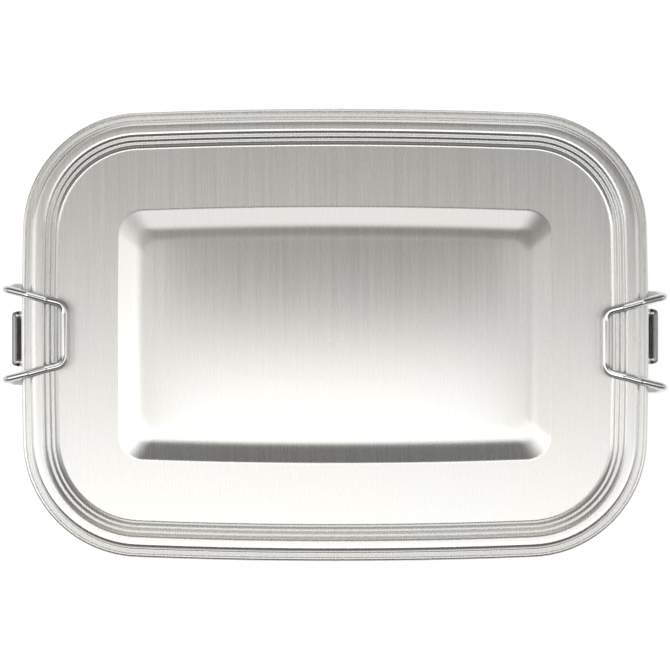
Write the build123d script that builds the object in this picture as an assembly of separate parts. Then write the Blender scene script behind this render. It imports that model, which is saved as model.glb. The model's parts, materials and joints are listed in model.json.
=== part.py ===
from build123d import *
import math
import os

# Stainless steel lunch box: a deep drawn tray, a lid whose rim bead holds a gasket, and a wire
# latch on each short side. Millimetres, +Z up, +X along the length. The origin is on the surface
# that the box stands on, under its centre.

# Outline of the lid: eight tangent arcs, slightly bowed sides and round corners.
LENGTH = 180.0
WIDTH = 130.0
CORNER_RADIUS = 34.0
LONG_SIDE_RADIUS = 1425.0
SHORT_SIDE_RADIUS = 1200.0

# Heights.
BEAD_TOP = 60.0
SHEET_LID = 0.6
SHEET_TRAY = 0.7

# Rim sections: (distance in from the lid's outer edge, height below the bead top) of the sheet's
# upper face, and the bend radius of that face at each inner point. The lid's rim has a hem, a
# lip, the bead and two narrow steps down to the panel. The tray's rim curls down over the edge.
LID_RIM = [(0.0, -8.0), (0.0, -2.75), (1.0, -2.65), (1.55, -2.3), (2.62, -2.2), (2.75, 0.0), (6.6, 0.0),
           (7.2, -1.35), (8.1, -1.2), (8.5, -2.45), (9.4, -2.3), (9.85, -3.6), (12.5, -3.6)]
LID_RIM_BENDS = [0.7, 0.4, 0.5, 0.25, 1.6, 0.7, 0.25, 0.3, 0.25, 0.3, 0.3]
TRAY_RIM = [(2.9, -5.65), (1.2, -5.65), (1.2, -3.0), (7.2, -3.0), (7.2, -59.3), (20.0, -59.3)]
TRAY_RIM_BENDS = [0.8, 1.1, 1.5, 8.0]
TIGHTEST_BEND = 0.12

# Raised rectangle in the middle of the lid: length, width and corner radius at its foot and top.
EMBOSS_OUTER = (124.8, 73.2, 6.0)
EMBOSS_TOP = (111.0, 59.4, 5.0)
EMBOSS_RISE = 1.9

# Gasket in the bead.
SEAL_FROM_EDGE = (3.6, 5.8)
SEAL_HEIGHTS = (-0.75, -2.9)

# Latches. Distances X are outwards from the lid's edge, heights Z are from the bead top.
WIRE_RADIUS = 1.15
WIRE_HOLE_RADIUS = 1.23
PIN_RADIUS = 1.25
PIN_HOLE_RADIUS = 1.3
PIN_X, PIN_Z = -2.6, -15.0
BAIL_ARM = 6.0
BAIL_ARM_ANGLE = 150.0
WALL_X = -6.5
LATCH_Y = {"left": -1.1, "right": -0.4}
BAIL_Y = {"left": 0.2, "right": -2.0}

# Bracket with two ears, welded to the tray wall.
BRACKET_SHEET = 1.0
BRACKET_HALF_WIDTH = 6.9
BRACKET_BELOW_PIN, BRACKET_ABOVE_PIN = 11.0, 4.5
EAR_RADIUS = 2.9
WELD_RADIUS, WELD_DEPTH = 1.6, 0.25

# Lever: a channel pressing with a lip over its top and vertical grip ribs. Its section is given by
# (X, Z) points from the pin: inner end of the lip, top corner, shoulder, start and tip of the grip.
LEVER_SHEET = 0.8
LEVER_HALF_WIDTH = 8.0
LEVER_SECTION = [(3.5, -2.0), (6.5, -1.3), (6.95, -2.4), (7.0, -5.0), (7.3, -23.0)]
LEVER_TIP_RADIUS = 5.0
LEVER_EYE_RADIUS = 3.1
RIB_RADIUS = 0.9
RIB_PROUD = 0.35
RIB_PITCH = 2.4
RIB_COUNT = 5
RIB_LENGTH = 11.0
RIB_MIDDLE_BELOW_PIN = 14.0

# Pin heads.
HEAD_RADIUS = 2.1
HEAD_THICKNESS = 0.8
SIDE_PLAY = 0.15

# Bail: half of its bent wire, from its free end in the lever to the middle of the crossbar.
BAIL_END_Y = 5.0
BAIL_FOOT_Y = 14.0
BAIL_ELBOWS = [(3.7, 13.6, -8.5), (4.4, 12.9, -0.6)]
BAIL_OVER_BEAD = [(-2.2, 11.3, 1.4), (-7.4, 9.9, 1.4)]
BAIL_HOOK = (-12.6, 8.6, -0.1)
BAIL_BENDS = [2.0, 6.0, 1.8, 4.0, 3.0, 3.2]


def circle_crossing(a, radius_a, b, radius_b):
    """The crossing of two circles that lies in the first quadrant."""
    dx, dy = b[0] - a[0], b[1] - a[1]
    gap = math.hypot(dx, dy)
    along = (gap**2 + radius_a**2 - radius_b**2) / (2 * gap)
    side = math.sqrt(radius_a**2 - along**2)
    foot = (a[0] + dx * along / gap, a[1] + dy * along / gap)
    first = (foot[0] - dy * side / gap, foot[1] + dx * side / gap)
    second = (foot[0] + dy * side / gap, foot[1] - dx * side / gap)
    return first if first[0] > 0 and first[1] > 0 else second


def outline_arcs():
    """Centre, radius, start and sweep in degrees of each arc of the lid's edge, anticlockwise."""
    long_centre = WIDTH / 2 - LONG_SIDE_RADIUS
    short_centre = LENGTH / 2 - SHORT_SIDE_RADIUS
    corner = circle_crossing((0, long_centre), LONG_SIDE_RADIUS - CORNER_RADIUS,
                             (short_centre, 0), SHORT_SIDE_RADIUS - CORNER_RADIUS)
    short_half = math.degrees(math.atan2(corner[1], corner[0] - short_centre))
    long_half = math.degrees(math.atan2(corner[0], corner[1] - long_centre))
    turn = 90 - short_half - long_half
    arcs = []
    for quarter, (sx, sy) in enumerate([(1, 1), (-1, 1), (-1, -1), (1, -1)]):
        base = 90 * quarter
        lead_half = short_half if quarter % 2 == 0 else long_half
        side_centre = [(short_centre, 0), (0, long_centre), (-short_centre, 0), (0, -long_centre)][quarter]
        side_radius = SHORT_SIDE_RADIUS if quarter % 2 == 0 else LONG_SIDE_RADIUS
        arcs.append((side_centre, side_radius, base - lead_half, 2 * lead_half))
        arcs.append(((sx * corner[0], sy * corner[1]), CORNER_RADIUS, base + lead_half, turn))
    return arcs


def inset_face(inset, height):
    """A flat face bounded by the lid's outline moved inwards."""
    edges = [CenterArc((cx, cy, height), radius - inset, start, sweep)
             for (cx, cy), radius, start, sweep in outline_arcs()]
    return make_face(edges)


def ring(section):
    """Carries a section face (distance in from the edge, height) round the whole outline."""
    pieces = []
    for (cx, cy), radius, start, sweep in outline_arcs():
        angle = math.radians(start)
        radial = (math.cos(angle), math.sin(angle), 0)
        plane = Plane(origin=(cx, cy, BEAD_TOP), x_dir=radial, z_dir=(radial[1], -radial[0], 0))
        placed = plane * Pos(radius, 0) * section
        pieces.append(revolve(placed, axis=Axis((cx, cy, 0), (0, 0, 1)), revolution_arc=sweep))
    return pieces[0].fuse(*pieces[1:])


def offset_side(points, shift):
    """The points of an open polyline moved sideways, mitred at its corners."""
    directions = []
    for (x0, y0), (x1, y1) in zip(points[:-1], points[1:]):
        run = math.hypot(x1 - x0, y1 - y0)
        directions.append(((x1 - x0) / run, (y1 - y0) / run))
    normals = [(-dy, dx) for dx, dy in directions]
    moved = []
    for i, (x, y) in enumerate(points):
        before = normals[max(i - 1, 0)]
        after = normals[min(i, len(normals) - 1)]
        share = shift / (1 + before[0] * after[0] + before[1] * after[1])
        moved.append((x + (before[0] + after[0]) * share, y + (before[1] + after[1]) * share))
    return moved


def sheet_section(points, bends, thickness):
    """Closed face of bent sheet metal whose upper face follows the points."""
    upper = [(-inwards, height) for inwards, height in points]
    lower = offset_side(upper, thickness)
    lower_bends = []
    for i, bend in enumerate(bends):
        (x0, y0), (x1, y1), (x2, y2) = upper[i:i + 3]
        turns_left = (x1 - x0) * (y2 - y1) - (y1 - y0) * (x2 - x1) > 0
        lower_bends.append(max(TIGHTEST_BEND, bend - thickness if turns_left else bend + thickness))
    sides = FilletPolyline(*upper, radius=bends) + FilletPolyline(*lower, radius=lower_bends)
    ends = Line(upper[0], lower[0]) + Line(upper[-1], lower[-1])
    return make_face(sides.edges() + ends.edges())


def emboss_solid(drop):
    """The raised rectangle of the lid as a block, lowered by a distance."""
    panel = BEAD_TOP + LID_RIM[-1][1]
    outer_length, outer_width, outer_radius = EMBOSS_OUTER
    top_length, top_width, top_radius = EMBOSS_TOP
    foot = Pos(0, 0, panel - drop) * RectangleRounded(outer_length, outer_width, outer_radius)
    top = Pos(0, 0, panel + EMBOSS_RISE - drop) * RectangleRounded(top_length, top_width, top_radius)
    return loft([foot, top], ruled=True)


def make_lid():
    rim = ring(sheet_section(LID_RIM, LID_RIM_BENDS, SHEET_LID))
    panel_inset, panel_top = LID_RIM[-1]
    panel = extrude(inset_face(panel_inset, BEAD_TOP + panel_top - SHEET_LID), SHEET_LID)
    return rim.fuse(panel).fuse(emboss_solid(0)) - emboss_solid(SHEET_LID)


def make_seal():
    near, far = SEAL_FROM_EDGE
    top, bottom = SEAL_HEIGHTS
    corners = [(-near, top), (-far, top), (-far, bottom), (-near, bottom)]
    return ring(fillet(make_face(Polyline(*corners, close=True)).vertices(), 0.5))


def make_tray():
    rim = ring(sheet_section(TRAY_RIM, TRAY_RIM_BENDS, SHEET_TRAY))
    floor = extrude(inset_face(TRAY_RIM[-1][0], 0), SHEET_TRAY)
    return rim.fuse(floor)


def latch_place(side, y):
    """Placement of latch geometry, drawn for the right side about Y = 0, on either side."""
    if side == "right":
        return Pos(LENGTH / 2, y, BEAD_TOP)
    return Pos(-LENGTH / 2, y, BEAD_TOP) * Rot(0, 0, 180)


def side_slab(profile, y_low, y_high):
    """A profile face drawn in (X, Z) made into a slab between two Y values."""
    return extrude(Plane((0, y_low, 0), x_dir=(1, 0, 0), z_dir=(0, 1, 0)) * mirror(profile, Plane.XZ),
                   y_high - y_low)


def cross_bar(x, z, radius, y_low, y_high):
    """A round bar along Y."""
    return side_slab(Pos(x, z) * Circle(radius), y_low, y_high)


def make_bracket(side):
    back_face = WALL_X + BRACKET_SHEET
    low, high = PIN_Z - BRACKET_BELOW_PIN, PIN_Z + BRACKET_ABOVE_PIN
    plate = Box(BRACKET_SHEET, 2 * BRACKET_HALF_WIDTH, high - low)
    plate = Pos(WALL_X + BRACKET_SHEET / 2, 0, (low + high) / 2) * plate
    plate = fillet(plate.edges().filter_by(Axis.X), 2.0)
    ear_profile = Pos(PIN_X, PIN_Z) * Circle(EAR_RADIUS)
    web = Polyline((back_face - BRACKET_SHEET / 2, PIN_Z + EAR_RADIUS), (PIN_X, PIN_Z + EAR_RADIUS),
                   (PIN_X, PIN_Z - EAR_RADIUS), (back_face - BRACKET_SHEET / 2, PIN_Z - 8.0), close=True)
    ear_profile = ear_profile + make_face(web)
    bracket = plate
    for sign in (-1, 1):
        inner, outer = sorted((sign * (BRACKET_HALF_WIDTH - BRACKET_SHEET), sign * BRACKET_HALF_WIDTH))
        bracket = bracket + side_slab(ear_profile, inner, outer)
    bracket = bracket - cross_bar(PIN_X, PIN_Z, PIN_RADIUS, -LEVER_HALF_WIDTH, LEVER_HALF_WIDTH)
    for y, z in [(-3.0, high - 3.0), (3.0, high - 3.0), (-3.0, low + 2.6), (3.0, low + 2.6)]:
        dimple = Rot(0, 90, 0) * Cylinder(WELD_RADIUS, 2 * WELD_DEPTH)
        bracket = bracket - Pos(back_face, y, z) * dimple
    return latch_place(side, LATCH_Y[side]) * bracket


def make_pin(side):
    outer = LEVER_HALF_WIDTH + SIDE_PLAY
    pin = cross_bar(PIN_X, PIN_Z, PIN_RADIUS, -outer, outer)
    for sign in (-1, 1):
        low, high = sorted((sign * outer, sign * (outer + HEAD_THICKNESS)))
        head = cross_bar(PIN_X, PIN_Z, HEAD_RADIUS, low, high)
        rim = head.edges().filter_by(GeomType.CIRCLE).sort_by(Axis.Y)[-1 if sign > 0 else 0]
        pin = pin + fillet(rim, 0.5)
    return latch_place(side, LATCH_Y[side]) * pin


def lever_section(shift=0.0):
    """The lever's section in (X, Z), moved inwards by a distance."""
    points = [(PIN_X + x, PIN_Z + z) for x, z in LEVER_SECTION]
    return offset_side(points, -shift)


def flange_profile():
    """Side view of a lever flange: an eye round the pin that runs down into the face plate."""
    eye = Pos(PIN_X, PIN_Z) * Circle(LEVER_EYE_RADIUS)
    top, shoulder, grip = lever_section(LEVER_SHEET / 2)[1:4]
    web = Polyline((PIN_X, PIN_Z + LEVER_EYE_RADIUS), top, shoulder, grip,
                   (grip[0] + 0.3, PIN_Z - 19.0), (PIN_X + 2.4, PIN_Z - 12.0),
                   (PIN_X - 2.4, PIN_Z - 2.0), close=True)
    return eye + make_face(web)


def make_lever(side):
    outer, inner = lever_section(), lever_section(LEVER_SHEET)
    grip, tip = outer[-2:]
    profile = make_face(Polyline(*outer, *reversed(inner), close=True))
    face = side_slab(profile, -LEVER_HALF_WIDTH, LEVER_HALF_WIDTH)
    tip_edges = [e for e in face.edges() if abs(e.center().Z - tip[1]) < LEVER_SHEET
                 and abs(abs(e.center().Y) - LEVER_HALF_WIDTH) < 0.01 and e.length < 2 * LEVER_SHEET]
    lever = fillet(tip_edges, LEVER_TIP_RADIUS)
    for sign in (-1, 1):
        low, high = sorted((sign * (LEVER_HALF_WIDTH - LEVER_SHEET), sign * LEVER_HALF_WIDTH))
        lever = lever + side_slab(flange_profile(), low, high)
    lean = math.degrees(math.atan2(tip[0] - grip[0], grip[1] - tip[1]))
    share = (grip[1] - PIN_Z + RIB_MIDDLE_BELOW_PIN) / (grip[1] - tip[1])
    rib_x = grip[0] + (tip[0] - grip[0]) * share + RIB_PROUD - RIB_RADIUS
    ribs = []
    for i in range(RIB_COUNT):
        y = (i - (RIB_COUNT - 1) / 2) * RIB_PITCH
        ribs.append(Pos(rib_x, y, PIN_Z - RIB_MIDDLE_BELOW_PIN) * Rot(0, -lean, 0)
                    * Cylinder(RIB_RADIUS, RIB_LENGTH))
    hollow = make_face(Polyline(*inner[-2:], (inner[-1][0] - 5.0, inner[-1][1]),
                                (inner[-2][0] - 5.0, inner[-2][1]), close=True))
    behind = side_slab(hollow, -LEVER_HALF_WIDTH + LEVER_SHEET, LEVER_HALF_WIDTH - LEVER_SHEET)
    for rib in ribs:
        lever = lever + (rib - behind)
    swing = math.radians(BAIL_ARM_ANGLE)
    bail_x, bail_z = PIN_X + BAIL_ARM * math.sin(swing), PIN_Z + BAIL_ARM * math.cos(swing)
    reach = LEVER_HALF_WIDTH + 1
    lever = lever - cross_bar(PIN_X, PIN_Z, PIN_HOLE_RADIUS, -reach, reach)
    lever = lever - cross_bar(bail_x, bail_z, WIRE_HOLE_RADIUS, -reach, reach)
    return latch_place(side, LATCH_Y[side]) * lever


def bail_route():
    """Corner points of the whole bail wire, from one free end to the other."""
    swing = math.radians(BAIL_ARM_ANGLE)
    foot_x, foot_z = PIN_X + BAIL_ARM * math.sin(swing), PIN_Z + BAIL_ARM * math.cos(swing)
    half = [(foot_x, BAIL_END_Y, foot_z), (foot_x, BAIL_FOOT_Y, foot_z)]
    half += BAIL_ELBOWS + BAIL_OVER_BEAD + [BAIL_HOOK]
    return half + [(x, -y, z) for x, y, z in reversed(half)]


def make_bail(side):
    path = FilletPolyline(*bail_route(), radius=BAIL_BENDS + BAIL_BENDS[::-1])
    section = Plane(origin=path @ 0, z_dir=path % 0) * Circle(WIRE_RADIUS)
    return latch_place(side, BAIL_Y[side]) * sweep(section, path=path)


def main():
    os.makedirs("parts", exist_ok=True)
    nodes = {"tray": make_tray(), "lid": make_lid(), "lid_seal": make_seal()}
    for side in ("left", "right"):
        nodes[f"{side}_bracket"] = make_bracket(side)
        nodes[f"{side}_pin"] = make_pin(side)
        nodes[f"{side}_lever"] = make_lever(side)
        nodes[f"{side}_bail"] = make_bail(side)
    for name, shape in nodes.items():
        export_step(shape, f"parts/{name}.step")


main()
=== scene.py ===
import json
import math

import bpy
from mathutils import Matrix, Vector


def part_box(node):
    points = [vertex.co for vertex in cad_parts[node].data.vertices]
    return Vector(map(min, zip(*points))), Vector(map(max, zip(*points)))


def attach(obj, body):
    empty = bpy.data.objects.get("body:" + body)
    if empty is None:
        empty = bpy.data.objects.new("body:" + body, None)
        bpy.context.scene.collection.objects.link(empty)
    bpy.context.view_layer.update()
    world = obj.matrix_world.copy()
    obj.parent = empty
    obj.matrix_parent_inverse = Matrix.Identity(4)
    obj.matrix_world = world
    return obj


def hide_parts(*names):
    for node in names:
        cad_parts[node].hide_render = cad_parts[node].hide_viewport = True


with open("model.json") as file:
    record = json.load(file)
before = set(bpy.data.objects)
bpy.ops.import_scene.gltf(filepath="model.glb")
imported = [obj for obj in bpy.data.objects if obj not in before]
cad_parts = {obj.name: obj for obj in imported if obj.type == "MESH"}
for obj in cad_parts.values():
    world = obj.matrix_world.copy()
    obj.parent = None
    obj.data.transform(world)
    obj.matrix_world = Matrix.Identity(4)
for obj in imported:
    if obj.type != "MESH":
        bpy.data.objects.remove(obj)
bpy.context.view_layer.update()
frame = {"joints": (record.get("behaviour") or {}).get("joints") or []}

# Stainless steel lunch box. Sheet metal is drawn in millimetres and stored in metres.
MM = 0.001

lid_low, lid_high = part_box("lid")
LENGTH = (lid_high[0] - lid_low[0]) / MM
WIDTH = (lid_high[1] - lid_low[1]) / MM
BEAD_TOP = lid_high[2] / MM
CORNER_RADIUS = 34.0
LONG_SIDE_RADIUS = 1425.0
SHORT_SIDE_RADIUS = 1200.0
LID_SHEET = 0.6
TRAY_SHEET = 0.7

# (distance in from the lid's edge, height from the bead's top) along the upper face of the sheet.
LID_RIM = [(0.0, -7.7), (0.0, -2.3), (2.62, -2.345), (2.75, -0.17), (4.6, 0.0), (6.1, -0.015), (6.7, -0.1),
           (7.03, -1.35), (8.12, -1.378), (8.5, -2.5), (9.4, -2.52), (9.75, -3.6), (12.5, -3.6)]
LID_BENDS = [0.85, 0.2, 1.5, 8.0, 2.0, 0.3, 0.25, 0.2, 0.25, 0.2, 1.25]
# A narrow groove rolled into the upper face beside the hem.
HEM_GROOVE = [(0.97, -2.29), (1.14, -2.5), (1.32, -2.3)]
HEM_GROOVE_BENDS = [0.1, 0.08, 0.1]
# The rounded lower edge of the skirt, about the middle of its sheet.
SKIRT_EDGE = [(-0.21, -0.22), (0.0, -0.28), (0.21, -0.22)]
TRAY_RIM = [(2.6, -5.65), (1.2, -5.65), (1.2, -3.0), (7.2, -3.0), (7.2, -59.3), (20.0, -59.3)]
TRAY_BENDS = [0.8, 1.1, 1.5, 8.0]
# How far the rounded end of the tray's curl stands past its sheet, and the sizes of its floor's loops.
TRAY_CURL_END = 0.2
FLOOR_SHARES = [0.03, 0.25, 0.5, 0.75, 0.9]
SEAL_SECTION = [(4.7, -0.75), (3.6, -0.75), (3.6, -2.9), (5.8, -2.9), (5.8, -0.75), (4.8, -0.75)]
SEAL_BENDS = [0.5, 0.5, 0.5, 0.5]

# Raised rectangle: half sizes and corner radius of its foot and of its top, the radii of its bowed
# sides, its rise, the crown of its top, and the share of its slope that is straight.
EMBOSS_FOOT = (62.3, 37.0, 7.0)
EMBOSS_TOP = (54.4, 27.7, 4.0)
EMBOSS_SIDE_RADII = (1500.0, 2600.0)
EMBOSS_RISE = 1.72
EMBOSS_CROWN = 0.42
EMBOSS_STRAIGHT = 0.5
# Outlines on the panel just outside its foot, which keep smooth shading off the flat.
EMBOSS_GUARDS = (0.15, 0.6)
# Loops up its slope and over its top, and how many loops short of the middle the last one stays.
EMBOSS_SLOPE_STEPS, EMBOSS_TOP_STEPS, EMBOSS_MIDDLE = 20, 25, 0.6
PANEL_STEPS = 3

# The bail's wire: X outwards from the lid's edge, Y from the latch's middle, Z from the bead's top.
WIRE_RADIUS = 1.15
BAIL_END_Y = 5.0
BAIL_FOOT_Y = 14.0
BAIL_POINTS = [(3.7, 13.6, -8.5), (4.4, 12.9, -0.6), (-2.2, 11.3, 1.4), (-7.4, 9.9, 1.4),
               (-12.6, 8.6, -0.1)]
BAIL_BENDS = [2.0, 6.0, 1.8, 4.0, 3.0, 3.2]
# A softly rounded end of the wire, in radii: (distance along, radius).
WIRE_END = [(0.0, 0.7), (0.09, 0.88), (0.3, 1.0)]

PIN_RADIUS, PIN_HOLE, WIRE_HOLE = 1.25, 1.31, 1.24
# Half of the pin's outline: (distance from its middle, radius), out to the top of its domed head.
PIN_OUTLINE = [(0.0, PIN_RADIUS), (4.0, PIN_RADIUS), (7.9, PIN_RADIUS), (8.1, PIN_RADIUS), (8.16, 1.4),
               (8.17, 1.9), (8.2, 2.03), (8.28, 2.09), (8.38, 2.09), (8.5, 2.05), (8.64, 1.9), (8.78, 1.6),
               (8.87, 1.2), (8.92, 0.7), (8.94, 0.2)]

# Levers and brackets: X outwards and Z up from the pin's axis.
LEVER_SHEET, LEVER_HALF_WIDTH, LEVER_TIP_RADIUS = 0.8, 8.0, 5.0
LEVER_SECTION = [(3.5, -2.0), (6.5, -1.3), (6.95, -2.4), (7.0, -5.0), (7.3, -23.0)]
LEVER_SECTION_BENDS = [0.8, 1.0, 4.0]
LEVER_SIDE_BEND = 0.9
LEVER_GRIP_TOP = -5.0
LEVER_EYE_RADIUS = 3.1
# Back edge of the lever's sides below its eyes. The last point is a distance behind the grip.
LEVER_BACK = [(-2.4, -2.0), (2.4, -12.0)]
LEVER_BACK_END = (1.1, -19.0)
# Narrowest half of an eye's top row, and how far forward of the pin that row starts.
EYE_TOP_HALF, EYE_TOP_START = 0.2, 0.3
# The lever's rows: angles round the eye, heights beside the pin, drops below the top of the face, and
# the number of rows down the rest of the face.
EYE_ANGLES = (4, 20, 32, 44, 55, 65)
EYE_HEIGHTS = [1.0, 0.7, 0.4, 0.1, -0.2, -0.5, -0.8, -1.1, -1.3]
FACE_DROPS = [0.0, 0.03, 0.1, 0.2, 0.34, 0.52]
FACE_ROWS = 44
RIB_PITCH, RIB_COUNT, RIB_PROUD, RIB_FADE = 2.4, 5, 0.33, 1.8
RIB_ENDS = (-8.6, -19.4)

BRACKET_SHEET, BRACKET_HALF_WIDTH, BRACKET_CORNER = 1.0, 6.9, 2.0
BRACKET_BACK, BRACKET_LOW, BRACKET_HIGH = -3.9, -11.0, 4.5
BRACKET_SIDE_BEND = 0.6
BRACKET_ROWS = 40
# How far the drawn plate stays inside its ends and its thickness.
BRACKET_END_GAP, BRACKET_FACE_GAP = 0.1, 0.02
# Each ear is round above its waist and runs down to its foot, a distance in front of the plate.
EAR_RADIUS = 2.85
EAR_WAIST = (2.6, -1.2)
EAR_FOOT = (1.0, -8.0)
EAR_TOP_HALF_SQUARED = 0.02
WELD_Y, WELD_HEIGHTS, WELD_RADIUS, WELD_DEPTH = 3.0, (1.5, -8.4), 1.6, 0.2

# Softened edges of the pressings, and the drills that cut their holes.
EDGE_SOFTNESS, EDGE_ANGLE = 0.14, 50
DRILL_LENGTH, DRILL_SIDES = 5.0, 40

SIDE_STEPS = (36, 26)
CORNER_STEPS = 22
BEND_STEPS, WIRE_BEND_STEPS, SIDE_BEND_STEPS = 6, 10, 4
LEVER_FACE_STEPS, BRACKET_FACE_STEPS, FLANGE_STEPS = 60, 30, 8
WIRE_SIDES, PIN_SIDES = 20, 36
# Guard points: their distance from a bend, their largest share of a run, and the shortest kept.
GUARD, GUARD_SHARE, GUARD_LEAST = 0.12, 0.3, 0.01
SHARPEST_BEND = 0.12


def joint_place(name):
    """A joint's point at rest, in millimetres."""
    joint = next(j for j in frame["joints"] if j["name"] == name)
    return [c / MM for c in joint["pos_m"]]


# ---------------------------------------------------------------- outlines and sections


def tangent_arcs(half_length, half_width, corner, long_radius, short_radius):
    """Eight tangent arcs round a rectangle with bowed sides: centre, radius, start, sweep."""
    long_centre, short_centre = half_width - long_radius, half_length - short_radius
    reach_long, reach_short = long_radius - corner, short_radius - corner
    dx, dy = short_centre, -long_centre
    gap = math.hypot(dx, dy)
    along = (gap**2 + reach_long**2 - reach_short**2) / (2 * gap)
    side = math.sqrt(reach_long**2 - along**2)
    foot_x, foot_y = dx * along / gap, long_centre + dy * along / gap
    options = [(foot_x - dy * side / gap, foot_y + dx * side / gap),
               (foot_x + dy * side / gap, foot_y - dx * side / gap)]
    cx, cy = next(p for p in options if p[0] > 0 and p[1] > 0)
    short_half = math.atan2(cy, cx - short_centre)
    long_half = math.atan2(cx, cy - long_centre)
    turn = math.pi / 2 - short_half - long_half
    arcs = []
    for quarter, (sx, sy) in enumerate([(1, 1), (-1, 1), (-1, -1), (1, -1)]):
        base = quarter * math.pi / 2
        on_short = quarter % 2 == 0
        half = short_half if on_short else long_half
        centre = [(short_centre, 0), (0, long_centre), (-short_centre, 0), (0, -long_centre)][quarter]
        steps = SIDE_STEPS[1] if on_short else SIDE_STEPS[0]
        arcs.append((centre, short_radius if on_short else long_radius, base - half, 2 * half, steps))
        arcs.append(((sx * cx, sy * cy), corner, base + half, turn, CORNER_STEPS))
    return arcs


LID_ARCS = tangent_arcs(LENGTH / 2, WIDTH / 2, CORNER_RADIUS, LONG_SIDE_RADIUS, SHORT_SIDE_RADIUS)


def loop_points(arcs, inset, height):
    """Points of an outline moved inwards, at a height below the bead top, in millimetres."""
    points = []
    for (cx, cy), radius, start, sweep, steps in arcs:
        for i in range(steps):
            angle = start + sweep * i / steps
            points.append((cx + (radius - inset) * math.cos(angle),
                           cy + (radius - inset) * math.sin(angle), BEAD_TOP + height))
    return points


def offset_side(points, shift):
    """An open polyline moved sideways, mitred at its corners."""
    directions = []
    for (x0, y0), (x1, y1) in zip(points[:-1], points[1:]):
        run = math.hypot(x1 - x0, y1 - y0)
        directions.append(((x1 - x0) / run, (y1 - y0) / run))
    normals = [(-dy, dx) for dx, dy in directions]
    moved = []
    for i, (x, y) in enumerate(points):
        before, after = normals[max(i - 1, 0)], normals[min(i, len(normals) - 1)]
        share = shift / (1 + before[0] * after[0] + before[1] * after[1])
        moved.append((x + (before[0] + after[0]) * share, y + (before[1] + after[1]) * share))
    return moved


def rounded(points, radii, steps=BEND_STEPS):
    """A polyline in 2 or 3 dimensions with its inner corners rounded. Guard points on each
    straight run keep smooth shading off the flat."""
    points = [Vector(p) for p in points]
    turns, reaches = [], [0.0]
    for before, corner, after, radius in zip(points[:-2], points[1:-1], points[2:], radii):
        turn = math.pi - (before - corner).angle(after - corner)
        turns.append(turn)
        reaches.append(radius * math.tan(turn / 2))
    reaches.append(0.0)
    guards = []
    for i, (a, b) in enumerate(zip(points[:-1], points[1:])):
        straight = max(0.0, (b - a).length - reaches[i] - reaches[i + 1])
        guards.append(min(GUARD, GUARD_SHARE * straight))
    out = [points[0]]
    for i, (turn, radius) in enumerate(zip(turns, radii), 1):
        corner = points[i]
        back, ahead = (points[i - 1] - corner).normalized(), (points[i + 1] - corner).normalized()
        start = corner + back * reaches[i]
        middle = corner + (back + ahead).normalized() * (radius / math.cos(turn / 2))
        arm = start - middle
        if guards[i - 1] > GUARD_LEAST:
            out.append(start + back * guards[i - 1])
        count = max(2, round(steps * min(1.0, turn / (math.pi / 2)) + 1))
        for k in range(count + 1):
            angle = turn * k / count
            out.append(middle + arm * math.cos(angle) - back * (radius * math.sin(angle)))
        if guards[i] > GUARD_LEAST:
            out.append(corner + ahead * (reaches[i] + guards[i]))
    out.append(points[-1])
    return out


def sheet_sides(points, bends, thickness):
    """Upper and lower face of bent sheet as rounded lists of (distance in, height)."""
    upper = [(-inset, height) for inset, height in points]
    lower_bends = []
    for i, bend in enumerate(bends):
        (x0, y0), (x1, y1), (x2, y2) = upper[i:i + 3]
        left = (x1 - x0) * (y2 - y1) - (y1 - y0) * (x2 - x1) > 0
        lower_bends.append(max(SHARPEST_BEND, bend - thickness if left else bend + thickness))
    sides = [rounded(upper, bends), rounded(offset_side(upper, thickness), lower_bends)]
    return [[(-p[0], p[1]) for p in side] for side in sides]


# ---------------------------------------------------------------- meshes


def mesh_object(name, vertices, faces, body, material, slot_name, replaced=()):
    """A smooth shaded mesh in metres that rides on a body."""
    mesh = bpy.data.meshes.new(name)
    mesh.from_pydata([tuple(c * MM for c in v) for v in vertices], [], faces)
    mesh.validate()
    mesh.update()
    mesh.polygons.foreach_set("use_smooth", [True] * len(mesh.polygons))
    piece = bpy.data.objects.new(name, mesh)
    bpy.context.scene.collection.objects.link(piece)
    mesh.materials.append(material)
    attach(piece, body)
    if replaced:
        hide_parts(*replaced)
    return piece


def skin(loops, closed=False):
    """Quads between loops of equal length, closed into a ring or with a face over each end."""
    count = len(loops[0])
    vertices = [p for loop in loops for p in loop]
    faces = []
    pairs = list(zip(range(len(loops) - 1), range(1, len(loops))))
    if closed:
        pairs.append((len(loops) - 1, 0))
    for a, b in pairs:
        for i in range(count):
            j = (i + 1) % count
            faces.append((a * count + i, b * count + i, b * count + j, a * count + j))
    if not closed:
        faces.append(tuple(range(count)))
        faces.append(tuple((len(loops) - 1) * count + i for i in reversed(range(count))))
    return vertices, faces


def shrunk(loop, share):
    """A loop drawn in towards the middle."""
    return [(x * share, y * share, z) for x, y, z in loop]


def between(loop_a, loop_b, count):
    """Evenly spaced loops between two loops, without the ends."""
    steps = [i / (count + 1) for i in range(1, count + 1)]
    return [[tuple(a + (b - a) * t for a, b in zip(p, q)) for p, q in zip(loop_a, loop_b)]
            for t in steps]


def emboss_rise(t):
    """Share of the rise at a share of the way up the slope: straight from a crisp foot, then easing."""
    easing = 1 - EMBOSS_STRAIGHT
    reach = EMBOSS_STRAIGHT + easing / 2
    if t < EMBOSS_STRAIGHT:
        return t / reach
    u = (t - EMBOSS_STRAIGHT) / easing
    return (EMBOSS_STRAIGHT + easing * (u - u * u / 2)) / reach


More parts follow.
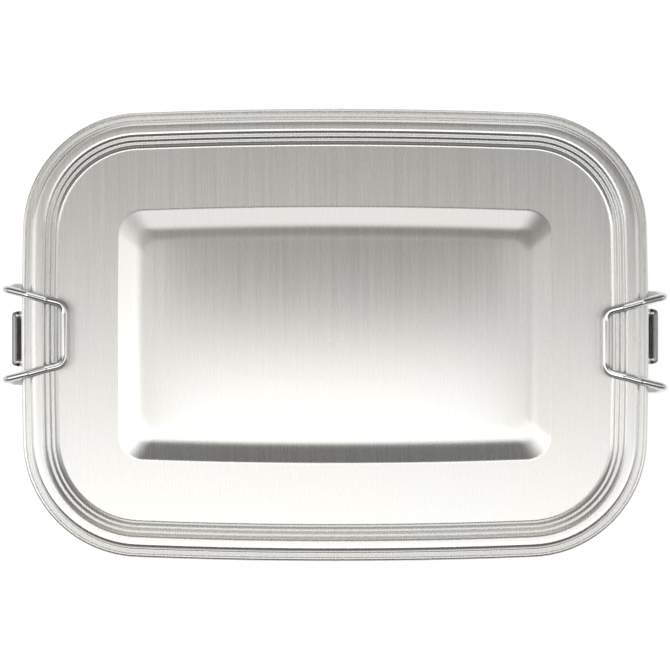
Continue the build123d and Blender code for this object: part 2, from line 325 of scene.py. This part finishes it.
def emboss_loops(panel_height):
    """Loops of the raised rectangle, from its foot to the middle of its crowned top."""
    loops = []
    for i in range(EMBOSS_SLOPE_STEPS + 1):
        t = i / EMBOSS_SLOPE_STEPS
        size = [a + (b - a) * t for a, b in zip(EMBOSS_FOOT, EMBOSS_TOP)]
        arcs = tangent_arcs(*size, *EMBOSS_SIDE_RADII)
        loops.append(loop_points(arcs, 0, panel_height + EMBOSS_RISE * emboss_rise(t)))
    edge = loops[-1]
    for i in range(1, EMBOSS_TOP_STEPS + 1):
        share = 1 - i / (EMBOSS_TOP_STEPS + EMBOSS_MIDDLE)
        loops.append([crowned(x * share, y * share, z) for x, y, z in edge])
    return loops


def crowned(x, y, z):
    """A point of the raised rectangle's top, lifted by the crown."""
    across = max(0.0, 1 - (x / EMBOSS_TOP[0])**4)
    along = max(0.0, 1 - (y / EMBOSS_TOP[1])**2)
    return (x, y, z + EMBOSS_CROWN * across * along)


def lid_loops():
    """Loops of the lid's sheet: from the middle of its upper face to the skirt, and back below."""
    lower = sheet_sides(LID_RIM, LID_BENDS, LID_SHEET)[1]
    grooved = LID_RIM[:2] + HEM_GROOVE + LID_RIM[2:]
    bends = LID_BENDS[:1] + HEM_GROOVE_BENDS + LID_BENDS[1:]
    upper = [(-p[0], p[1]) for p in rounded([(-d, z) for d, z in grooved], bends)]
    panel_height = upper[-1][1]
    top = emboss_loops(panel_height)
    under = [[(x, y, z - LID_SHEET) for x, y, z in loop] for loop in top]
    rim_top = [loop_points(LID_ARCS, d, z) for d, z in upper]
    rim_under = [loop_points(LID_ARCS, d, z) for d, z in lower]
    middle = (upper[0][0] + lower[0][0]) / 2
    edge = [loop_points(LID_ARCS, middle + d, upper[0][1] + z) for d, z in SKIRT_EDGE]
    foot = []
    for grow in EMBOSS_GUARDS:
        arcs = tangent_arcs(*(size + grow for size in EMBOSS_FOOT), *EMBOSS_SIDE_RADII)
        foot.append(loop_points(arcs, 0, panel_height))
    loops = top[::-1] + foot + between(foot[-1], rim_top[-1], PANEL_STEPS)
    loops += rim_top[::-1] + edge + rim_under
    return loops + between(rim_under[-1], under[0], PANEL_STEPS) + under


def tray_loops():
    """Loops of the tray's sheet: from the middle of its floor to the curl, and back below."""
    upper, lower = sheet_sides(TRAY_RIM, TRAY_BENDS, TRAY_SHEET)
    curl_end = ((upper[0][0] + lower[0][0]) / 2 + TRAY_CURL_END, (upper[0][1] + lower[0][1]) / 2)
    loops = [loop_points(LID_ARCS, d, z) for d, z in upper[::-1] + [curl_end] + lower]
    floor_top = [shrunk(loops[0], share) for share in FLOOR_SHARES]
    floor_under = [shrunk(loops[-1], share) for share in reversed(FLOOR_SHARES)]
    return floor_top + loops + floor_under


def seal_loops():
    """Loops of the gasket, one for each point round its section."""
    section = rounded([(-d, z) for d, z in SEAL_SECTION], SEAL_BENDS)
    return [loop_points(LID_ARCS, -d, z) for d, z in reversed(section)]


def wire(points, radius):
    """A round wire along points in millimetres, with softly rounded ends."""
    points = [Vector(p) for p in points]
    runs = [(b - a).normalized() for a, b in zip(points[:-1], points[1:])]
    turns = [(a + b).normalized() for a, b in zip(runs[:-1], runs[1:])]
    tangents = [runs[0]] + turns + [runs[-1]]
    normal = tangents[0].orthogonal().normalized()
    angles = [2 * math.pi * k / WIRE_SIDES for k in range(WIRE_SIDES)]
    loops = []
    for i, (point, tangent) in enumerate(zip(points, tangents)):
        normal = (normal - tangent * normal.dot(tangent)).normalized()
        across = tangent.cross(normal)
        rings = [(0.0, 1.0)]
        if i == 0:
            rings = WIRE_END
        elif i == len(points) - 1:
            rings = [(-shift, share) for shift, share in reversed(WIRE_END)]
        for shift, share in rings:
            centre = point + tangent * (shift * radius)
            loops.append([tuple(centre + (normal * math.cos(a) + across * math.sin(a)) * radius * share)
                          for a in angles])
    return skin([loop[::-1] for loop in loops])


def latch_points(side, y_middle, points):
    """Latch points drawn for the right side, moved to their side of the box."""
    sign = 1 if side == "right" else -1
    return [(sign * (LENGTH / 2 + x), y_middle + y, BEAD_TOP + z) for x, y, z in points]


def make_bail(side, material):
    """A bent wire that turns in the lever's holes and hooks over the lid's bead."""
    pivot = joint_place(f"{side}_bail_pivot")
    foot_x, foot_z = abs(pivot[0]) - LENGTH / 2, pivot[2] - BEAD_TOP
    half = [(foot_x, BAIL_END_Y, foot_z), (foot_x, BAIL_FOOT_Y, foot_z)] + BAIL_POINTS
    route = half + [(x, -y, z) for x, y, z in reversed(half)]
    smooth = rounded(route, BAIL_BENDS + BAIL_BENDS[::-1], steps=WIRE_BEND_STEPS)
    vertices, faces = wire(latch_points(side, pivot[1], smooth), WIRE_RADIUS)
    return mesh_object(f"{side}_bail_wire", vertices, faces, f"{side}_bail_body", material, "wire",
                       [f"{side}_bail"])


def along_line(points, z):
    """The X of an open polyline of (X, Z) points, falling in Z, at a height."""
    for (x0, z0), (x1, z1) in zip(points[:-1], points[1:]):
        if z0 >= z >= z1:
            return x0 + (x1 - x0) * (z0 - z) / max(z0 - z1, 1e-9)
    return points[-1][0] if z < points[-1][1] else points[0][0]


def channel(rows, bend, face_steps, flange_steps, lip=()):
    """Middle surface of a channel pressing as vertices and faces. Each row is (z, face x, flange
    end x or None, half width, has face, flange start x or None). A lip of (x, z) points carries
    on from the face's first row, between the flanges."""
    vertices, faces, index = [], [], {}
    half_count = face_steps // 2
    side_start = half_count + SIDE_BEND_STEPS + 1
    for r, (z, face_x, end_x, half, has_face, start_x) in enumerate(rows):
        way = 1 if (end_x if end_x is not None else face_x - 1) > face_x else -1
        for sign in (-1, 1):
            near = face_x + way * bend if start_x is None else start_x
            if end_x is not None:
                for k in range(flange_steps + 1):
                    x = end_x + (near - end_x) * k / flange_steps
                    index[r, sign * (side_start + flange_steps - k)] = len(vertices)
                    vertices.append((x, sign * half, z))
            if has_face:
                for k in range(1, SIDE_BEND_STEPS + 1):
                    angle = math.pi / 2 * k / SIDE_BEND_STEPS
                    x = face_x + way * bend * (1 - math.sin(angle))
                    index[r, sign * (side_start - k)] = len(vertices)
                    vertices.append((x, sign * (half - bend * (1 - math.cos(angle))), z))
        if has_face:
            flat = half - bend
            for k in range(-half_count, half_count + 1):
                index[r, k] = len(vertices)
                vertices.append((face_x, flat * k / (half_count + 1), z))
    first = next(r for r, row in enumerate(rows) if row[4])
    for step, (x, z) in enumerate(lip, 1):
        for k in range(-half_count, half_count + 1):
            index[first - step, k] = len(vertices)
            vertices.append((x, (rows[first][3] - bend) * k / (half_count + 1), z))
    columns = range(-side_start - flange_steps, side_start + flange_steps)
    for r in range(len(rows) - 1):
        for c in columns:
            corners = [index.get(key) for key in ((r, c), (r, c + 1), (r + 1, c + 1), (r + 1, c))]
            if None not in corners:
                faces.append(tuple(corners))
    return vertices, faces


def sheet_object(name, side, vertices, faces, thickness, holes, body, material, slot_name, node):
    """Thickens a pressing drawn about its pin, cuts its holes, softens its edges and places it."""
    pivot = joint_place(f"{side}_lever_pivot")
    sign = 1 if side == "right" else -1
    placed = [(pivot[0] + sign * x, pivot[1] + sign * y, pivot[2] + z) for x, y, z in vertices]
    piece = mesh_object(name, placed, faces, body, material, slot_name)
    thick = piece.modifiers.new("thick", "SOLIDIFY")
    thick.thickness, thick.offset, thick.use_even_offset = thickness * MM, 0.0, True
    cutters = []
    for x, z, radius in holes:
        for y in (-LEVER_HALF_WIDTH, LEVER_HALF_WIDTH):
            centre = Vector((pivot[0] + sign * x, pivot[1] + y, pivot[2] + z)) * MM
            bpy.ops.mesh.primitive_cylinder_add(vertices=DRILL_SIDES, radius=radius * MM,
                                                depth=DRILL_LENGTH * MM, location=centre,
                                                rotation=(math.pi / 2, 0, 0))
            cutters.append(bpy.context.object)
            cut = piece.modifiers.new("hole", "BOOLEAN")
            cut.operation, cut.solver, cut.object = "DIFFERENCE", "EXACT", cutters[-1]
    soft = piece.modifiers.new("soft", "BEVEL")
    soft.width, soft.segments = EDGE_SOFTNESS * MM, 2
    soft.limit_method, soft.angle_limit = "ANGLE", math.radians(EDGE_ANGLE)
    bpy.context.view_layer.update()
    solid = bpy.data.meshes.new_from_object(piece.evaluated_get(bpy.context.evaluated_depsgraph_get()))
    piece.modifiers.clear()
    piece.data = solid
    for cutter in cutters:
        bpy.data.objects.remove(cutter)
    solid.polygons.foreach_set("use_smooth", [True] * len(solid.polygons))
    normals = piece.modifiers.new("flat_faces", "WEIGHTED_NORMAL")
    normals.keep_sharp = True
    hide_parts(node)
    return piece


def corner_loss(distance, radius):
    """How much narrower a plate with round corners is on each side, at a distance from its end."""
    if distance >= radius:
        return 0.0
    return radius - math.sqrt(max(0.0, radius**2 - (radius - distance)**2))


def lever_heights(top_z, tip_z):
    """Heights of the lever's rows, from the top of its eyes to the tip of its face."""
    heights = [LEVER_EYE_RADIUS * math.cos(math.radians(a)) for a in EYE_ANGLES] + EYE_HEIGHTS
    heights += [top_z - drop for drop in FACE_DROPS]
    start = top_z - FACE_DROPS[-1]
    heights += [start + (tip_z - start) * (k / FACE_ROWS) for k in range(1, FACE_ROWS + 1)]
    return sorted(set(round(h, 4) for h in heights), reverse=True)


def make_lever(side, material):
    """A channel pressing with pressed grip ribs, its eyes on the pin."""
    section = rounded(offset_side(LEVER_SECTION, -LEVER_SHEET / 2), LEVER_SECTION_BENDS)
    middle = [tuple(p) for p in section]
    top = max(range(len(middle)), key=lambda i: middle[i][1])
    lip, face = middle[:top][::-1], middle[top:]
    (top_x, top_z), (_, tip_z) = face[0], face[-1]
    behind, back_foot = LEVER_BACK_END
    back = LEVER_BACK + [(along_line(face, LEVER_GRIP_TOP) - behind, back_foot)]
    eye = LEVER_EYE_RADIUS
    rows = []
    for z in lever_heights(top_z, tip_z):
        has_face = z <= top_z + 1e-4
        start = end = None
        if not has_face:
            start = (top_x - LEVER_SIDE_BEND) * (eye - z) / (eye - top_z) + EYE_TOP_START
        if z > back[0][1]:
            end = -math.sqrt(max(eye**2 - z**2, EYE_TOP_HALF**2))
        elif z > back_foot:
            end = along_line(back, z)
        half = LEVER_HALF_WIDTH - LEVER_SHEET / 2 - corner_loss(z - tip_z, LEVER_TIP_RADIUS)
        rows.append((z, along_line(face, z), end, half, has_face, start))
    vertices, faces = channel(rows, LEVER_SIDE_BEND, LEVER_FACE_STEPS, FLANGE_STEPS, lip)
    pressed = []
    for x, y, z in vertices:
        if RIB_ENDS[0] > z > RIB_ENDS[1] and abs(y) < RIB_PITCH * RIB_COUNT / 2:
            wave = 0.5 + 0.5 * math.cos(2 * math.pi * y / RIB_PITCH)
            fade = min(1.0, (RIB_ENDS[0] - z) / RIB_FADE, (z - RIB_ENDS[1]) / RIB_FADE)
            x += RIB_PROUD * wave * fade * fade * (3 - 2 * fade)
        pressed.append((x, y, z))
    pivot, bail = joint_place(f"{side}_lever_pivot"), joint_place(f"{side}_bail_pivot")
    holes = [(0, 0, PIN_HOLE), (abs(bail[0]) - abs(pivot[0]), bail[2] - pivot[2], WIRE_HOLE)]
    return sheet_object(f"{side}_lever_pressing", side, pressed, faces, LEVER_SHEET, holes,
                        f"{side}_lever_body", material, "lever_steel", f"{side}_lever")


def make_bracket(side, material):
    """A plate on the tray's wall with two ears that carry the pin."""
    plate_x = BRACKET_BACK + BRACKET_SHEET / 2
    front = [EAR_WAIST, (plate_x + EAR_FOOT[0], EAR_FOOT[1])]
    high, low = BRACKET_HIGH - BRACKET_END_GAP, BRACKET_LOW + BRACKET_END_GAP
    rows = []
    for k in range(BRACKET_ROWS + 1):
        z = high + (low - high) * k / BRACKET_ROWS
        end = None
        if EAR_RADIUS > z > EAR_WAIST[1]:
            end = math.sqrt(max(EAR_TOP_HALF_SQUARED, EAR_RADIUS**2 - z**2))
        elif EAR_WAIST[1] >= z > EAR_FOOT[1]:
            end = along_line(front, z)
        half = BRACKET_HALF_WIDTH - BRACKET_SHEET / 2
        half -= corner_loss(min(z - BRACKET_LOW, BRACKET_HIGH - z), BRACKET_CORNER)
        rows.append((z, plate_x, end, half, True, None))
    vertices, faces = channel(rows, BRACKET_SIDE_BEND, BRACKET_FACE_STEPS, FLANGE_STEPS)
    welds = [(y, z) for y in (-WELD_Y, WELD_Y) for z in WELD_HEIGHTS]
    dented = []
    for x, y, z in vertices:
        near = min(math.hypot(y - weld_y, z - weld_z) for weld_y, weld_z in welds)
        if near < WELD_RADIUS and abs(x - plate_x) < 0.01:
            x -= WELD_DEPTH * math.cos(math.pi / 2 * near / WELD_RADIUS)
        dented.append((x, y, z))
    return sheet_object(f"{side}_bracket_pressing", side, dented, faces, BRACKET_SHEET - BRACKET_FACE_GAP,
                        [], "tray_body", material, "latch_steel", f"{side}_bracket")


def make_pin(side, material):
    """A pin with a domed head at each end."""
    pivot = joint_place(f"{side}_lever_pivot")
    angles = [2 * math.pi * k / PIN_SIDES for k in range(PIN_SIDES)]
    loops = []
    for y, r in [(-y, r) for y, r in reversed(PIN_OUTLINE[1:])] + PIN_OUTLINE:
        loops.append([(pivot[0] + r * math.cos(a), pivot[1] + y, pivot[2] + r * math.sin(a))
                      for a in angles])
    return mesh_object(f"{side}_pin_turned", *skin(loops), "tray_body", material, "latch_steel",
                       [f"{side}_pin"])


# ---------------------------------------------------------------- materials


def new_material(name, base, roughness, anisotropy=0.0, metallic=1.0):
    """A material and its shader."""
    material = bpy.data.materials.new(name)
    material.use_nodes = True
    shader = material.node_tree.nodes["Principled BSDF"]
    shader.inputs["Base Color"].default_value = (*base, 1)
    shader.inputs["Metallic"].default_value = metallic
    shader.inputs["Roughness"].default_value = roughness
    shader.inputs["Anisotropic"].default_value = anisotropy
    return material, shader


def noise(tree, scale, size, detail):
    """Noise stretched by a scale along each axis of the object."""
    nodes, links = tree.nodes, tree.links
    place = nodes.new("ShaderNodeTexCoord")
    mapping = nodes.new("ShaderNodeMapping")
    mapping.inputs["Scale"].default_value = scale
    texture = nodes.new("ShaderNodeTexNoise")
    texture.inputs["Scale"].default_value = size
    texture.inputs["Detail"].default_value = detail
    links.new(place.outputs["Object"], mapping.inputs["Vector"])
    links.new(mapping.outputs["Vector"], texture.inputs["Vector"])
    return texture.outputs["Fac"]


def mapped(tree, value, low, high):
    """Noise, which mostly lies between 0.3 and 0.7, spread from low to high."""
    node = tree.nodes.new("ShaderNodeMapRange")
    node.inputs["From Min"].default_value = 0.3
    node.inputs["From Max"].default_value = 0.7
    node.inputs["To Min"].default_value = low
    node.inputs["To Max"].default_value = high
    tree.links.new(value, node.inputs["Value"])
    return node.outputs["Result"]


def math_node(tree, operation, a, b):
    """Two values, each a number or a socket, put together by an operation."""
    node = tree.nodes.new("ShaderNodeMath")
    node.operation = operation
    for socket, value in zip(node.inputs, (a, b)):
        if isinstance(value, (int, float)):
            socket.default_value = value
        else:
            tree.links.new(value, socket)
    return node.outputs[0]


def brushed_steel(name, base, roughness, anisotropy, lines, tangent):
    """Brushed stainless steel: fine lines along one axis in tone, roughness and relief."""
    material, shader = new_material(name, base, roughness, anisotropy)
    tree = material.node_tree
    fine = noise(tree, lines, 1.0, 3.0)
    broad = noise(tree, tuple(c * 0.22 for c in lines), 1.0, 2.0)
    cloud = noise(tree, (1, 1, 1), 30.0, 2.0)
    both = math_node(tree, "ADD", math_node(tree, "MULTIPLY", fine, 0.65),
                     math_node(tree, "MULTIPLY", broad, 0.35))
    tone = mapped(tree, both, 0.965, 1.03)
    colour = tree.nodes.new("ShaderNodeCombineXYZ")
    tree.links.new(mapped(tree, cloud, base[0] * 0.988, base[0] * 1.014), colour.inputs["X"])
    colour.inputs["Y"].default_value = base[1]
    tree.links.new(mapped(tree, cloud, base[2] * 1.012, base[2] * 0.984), colour.inputs["Z"])
    tint = tree.nodes.new("ShaderNodeVectorMath")
    tint.operation = "SCALE"
    tree.links.new(colour.outputs[0], tint.inputs[0])
    tree.links.new(tone, tint.inputs["Scale"])
    tree.links.new(tint.outputs[0], shader.inputs["Base Color"])
    tree.links.new(mapped(tree, both, roughness * 0.94, roughness * 1.07), shader.inputs["Roughness"])
    bump = tree.nodes.new("ShaderNodeBump")
    bump.inputs["Strength"].default_value = 0.07
    bump.inputs["Distance"].default_value = 0.00001
    tree.links.new(both, bump.inputs["Height"])
    tree.links.new(bump.outputs["Normal"], shader.inputs["Normal"])
    direction = tree.nodes.new("ShaderNodeCombineXYZ")
    for socket, value in zip(direction.inputs, tangent):
        socket.default_value = value
    tree.links.new(direction.outputs[0], shader.inputs["Tangent"])
    return material


def plain_steel(name, base, roughness):
    """Polished steel with faint smears and scuffs."""
    material, shader = new_material(name, base, roughness)
    tree = material.node_tree
    smear = noise(tree, (1, 1, 1), 900.0, 3.0)
    tree.links.new(mapped(tree, smear, roughness * 0.8, roughness * 1.5), shader.inputs["Roughness"])
    bump = tree.nodes.new("ShaderNodeBump")
    bump.inputs["Strength"].default_value = 0.1
    bump.inputs["Distance"].default_value = 0.00002
    tree.links.new(smear, bump.inputs["Height"])
    tree.links.new(bump.outputs["Normal"], shader.inputs["Normal"])
    return material


def silicone(name):
    """Soft, slightly translucent white silicone."""
    material, shader = new_material(name, (0.72, 0.73, 0.71), 0.55, metallic=0.0)
    tree = material.node_tree
    grain = noise(tree, (1, 1, 1), 1500.0, 3.0)
    tree.links.new(mapped(tree, grain, 0.48, 0.62), shader.inputs["Roughness"])
    shader.inputs["Subsurface Weight"].default_value = 0.2
    shader.inputs["Subsurface Radius"].default_value = (0.002, 0.002, 0.002)
    return material


# ---------------------------------------------------------------- the studio


def soft_band(tree, value, low, high, soft_low, soft_high):
    """1 between two values, falling softly to 0 outside."""
    up = tree.nodes.new("ShaderNodeMapRange")
    up.interpolation_type = "SMOOTHSTEP"
    up.inputs["From Min"].default_value = low - soft_low
    up.inputs["From Max"].default_value = low + soft_low
    down = tree.nodes.new("ShaderNodeMapRange")
    down.interpolation_type = "SMOOTHSTEP"
    down.inputs["From Min"].default_value = high - soft_high
    down.inputs["From Max"].default_value = high + soft_high
    down.inputs["To Min"].default_value = 1.0
    down.inputs["To Max"].default_value = 0.0
    tree.links.new(value, up.inputs["Value"])
    tree.links.new(value, down.inputs["Value"])
    return math_node(tree, "MULTIPLY", up.outputs["Result"], down.outputs["Result"])


# Light panels round the box: strength, then the low and high angle from straight up towards +X
# and towards +Y, in degrees, each with its softness.
PANELS = [
    (2.30, (-38, -18, 4, 4), (-23, -0.5, 4, 2)),
    (2.30, (-10, 10, 4, 4), (-23, -0.5, 4, 2)),
    (2.30, (18, 38, 4, 4), (-23, -0.5, 4, 2)),
    (1.50, (-22, 22, 6, 6), (24, 70, 4, 5)),
    (1.20, (-48, -17, 5, 5), (-26, 26, 6, 6)),
    (0.25, (22, 44, 6, 6), (-26, 26, 6, 6)),
    (1.50, (-82, -53, 5, 5), (-26, 26, 6, 6)),
    (0.95, (44, 82, 6, 6), (-26, 26, 6, 6)),
]
WARM_PANEL = (0.12, (-38, 38, 6, 6), (-0.5, 16, 2, 4))
PANEL_COLOUR, WARM_COLOUR = (1, 0.995, 0.985, 1), (1, 0.88, 0.68, 1)
ROOM_LIGHT = 0.135
# A soft glow over the horizon: strength, then its low and high height and their softness.
HORIZON_GLOW = (0.34, (0.0, 0.40, 0.10, 0.12))
BACKDROP = 0.95
FLOOR_SIZE, FLOOR_HEIGHT, FLOOR_GLOW = 8.0, -0.0002, 0.54


def make_world():
    """A dark room with soft light panels, and a pale backdrop where the camera sees past the floor."""
    world = bpy.data.worlds.new("studio")
    world.use_nodes = True
    tree = world.node_tree
    tree.nodes.clear()
    place = tree.nodes.new("ShaderNodeTexCoord")
    parts = tree.nodes.new("ShaderNodeSeparateXYZ")
    tree.links.new(place.outputs["Generated"], parts.inputs[0])
    angles = []
    for axis in ("X", "Y"):
        radians = math_node(tree, "ARCTAN2", parts.outputs[axis], parts.outputs["Z"])
        angles.append(math_node(tree, "MULTIPLY", radians, 180 / math.pi))
    patches = []
    for strength, across, along in PANELS + [WARM_PANEL]:
        patch = math_node(tree, "MULTIPLY", soft_band(tree, angles[0], *across),
                          soft_band(tree, angles[1], *along))
        patches.append(math_node(tree, "MULTIPLY", patch, strength))
    glow = soft_band(tree, parts.outputs["Z"], *HORIZON_GLOW[1])
    total = math_node(tree, "MULTIPLY", glow, HORIZON_GLOW[0])
    total = math_node(tree, "ADD", total, ROOM_LIGHT)
    for patch in patches[:-1]:
        total = math_node(tree, "ADD", patch, total)
    lights = tree.nodes.new("ShaderNodeAddShader")
    strengths, colours = (total, patches[-1]), (PANEL_COLOUR, WARM_COLOUR)
    for socket, strength, colour in zip(lights.inputs, strengths, colours):
        background = tree.nodes.new("ShaderNodeBackground")
        background.inputs["Color"].default_value = colour
        tree.links.new(strength, background.inputs["Strength"])
        tree.links.new(background.outputs[0], socket)
    backdrop = tree.nodes.new("ShaderNodeBackground")
    backdrop.inputs["Color"].default_value = (1, 1, 1, 1)
    backdrop.inputs["Strength"].default_value = BACKDROP
    path = tree.nodes.new("ShaderNodeLightPath")
    mix = tree.nodes.new("ShaderNodeMixShader")
    output = tree.nodes.new("ShaderNodeOutputWorld")
    tree.links.new(path.outputs["Is Camera Ray"], mix.inputs[0])
    tree.links.new(lights.outputs[0], mix.inputs[1])
    tree.links.new(backdrop.outputs[0], mix.inputs[2])
    tree.links.new(mix.outputs[0], output.inputs["Surface"])
    bpy.context.scene.world = world


def make_floor():
    """A white floor, lit from within, a hair below the tray."""
    bpy.ops.mesh.primitive_plane_add(size=FLOOR_SIZE, location=(0, 0, FLOOR_HEIGHT))
    floor = bpy.context.object
    floor.name = "floor"
    material, shader = new_material("floor_white", (0.88, 0.88, 0.88), 0.9, metallic=0.0)
    shader.inputs["Specular IOR Level"].default_value = 0.0
    shader.inputs["Emission Color"].default_value = (1, 1, 1, 1)
    shader.inputs["Emission Strength"].default_value = FLOOR_GLOW
    floor.data.materials.append(material)


CAMERA_ABOVE = 850.0
VIEW_WIDTH = 191.6
SENSOR = 36.0


def make_camera():
    """Straight above the lid, +Y up in the picture."""
    data = bpy.data.cameras.new("camera")
    data.sensor_width = SENSOR
    data.lens = SENSOR * CAMERA_ABOVE / VIEW_WIDTH
    data.clip_start = 0.01
    camera = bpy.data.objects.new("camera", data)
    camera.location = (0, 0, (BEAD_TOP + CAMERA_ABOVE) * MM)
    bpy.context.scene.collection.objects.link(camera)
    bpy.context.scene.camera = camera


# ---------------------------------------------------------------- assembly


STEEL = (0.63, 0.625, 0.61)
lid_steel = brushed_steel("lid_steel", STEEL, 0.27, 0.8, (5200, 36, 36), (1, 0, 0.12))
tray_steel = brushed_steel("tray_steel", STEEL, 0.27, 0.75, (36, 36, 5200), (0.12, 0, 1))
latch_steel = plain_steel("latch_steel", STEEL, 0.2)
# The levers' base colour is darkened far below the other steel as painted shade: it stands in for the dark
# reflections their polished faces pick up.
lever_steel = plain_steel("lever_steel", (0.26, 0.26, 0.255), 0.14)
wire_steel = plain_steel("wire_steel", (0.6, 0.6, 0.59), 0.06)
seal_silicone = silicone("seal_silicone")

mesh_object("lid_shell", *skin(lid_loops()), "lid_body", lid_steel, "lid_steel", ["lid"])
mesh_object("tray_shell", *skin(tray_loops()), "tray_body", tray_steel, "tray_steel", ["tray"])
mesh_object("seal_ring", *skin(seal_loops(), closed=True), "lid_body", seal_silicone, "silicone",
            ["lid_seal"])
for side in ("left", "right"):
    make_bail(side, wire_steel)
    make_lever(side, lever_steel)
    make_bracket(side, latch_steel)
    make_pin(side, latch_steel)

make_world()
make_floor()
make_camera()
bpy.context.scene.view_settings.view_transform = "Standard"
